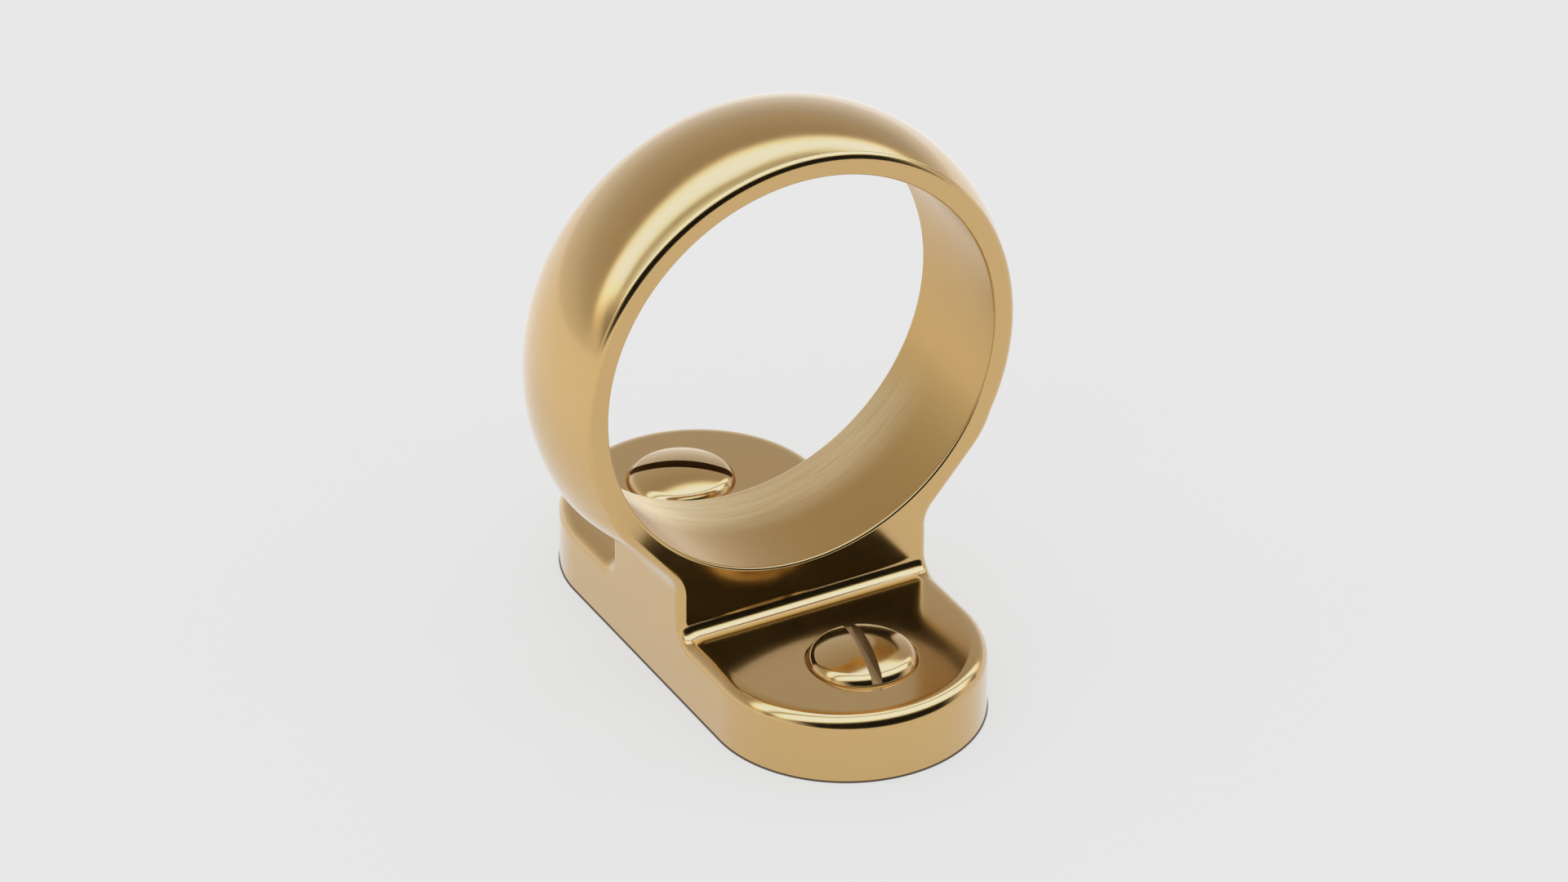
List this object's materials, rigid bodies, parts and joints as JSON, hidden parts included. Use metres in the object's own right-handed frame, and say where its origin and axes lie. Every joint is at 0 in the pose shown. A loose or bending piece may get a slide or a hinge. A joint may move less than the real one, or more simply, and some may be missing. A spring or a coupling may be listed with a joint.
{
  "type": "ring pull handle",
  "caption": "Cast brass ring pull: an upright domed ring blended through a short neck into a long plate with round ends, screwed down through the plate.",
  "frame": {"origin": "middle of the plate's underside, which lies on the surface that the handle is fixed to", "axes": "+Z out of the surface, along the neck; +Y along the plate from the front screw to the rear screw, which is also the direction of the ring's bore; +X across the plate"},
  "size_m": [0.0361, 0.0424, 0.0559],
  "materials": {
    "body_brass": "polished and lacquered",
    "screw_brass": "polished and lacquered"
  },
  "bodies": {
    "root": {"ring_pull_body": "body_brass", "front_screw": "screw_brass", "rear_screw": "screw_brass"}
  },
  "joints": []
}
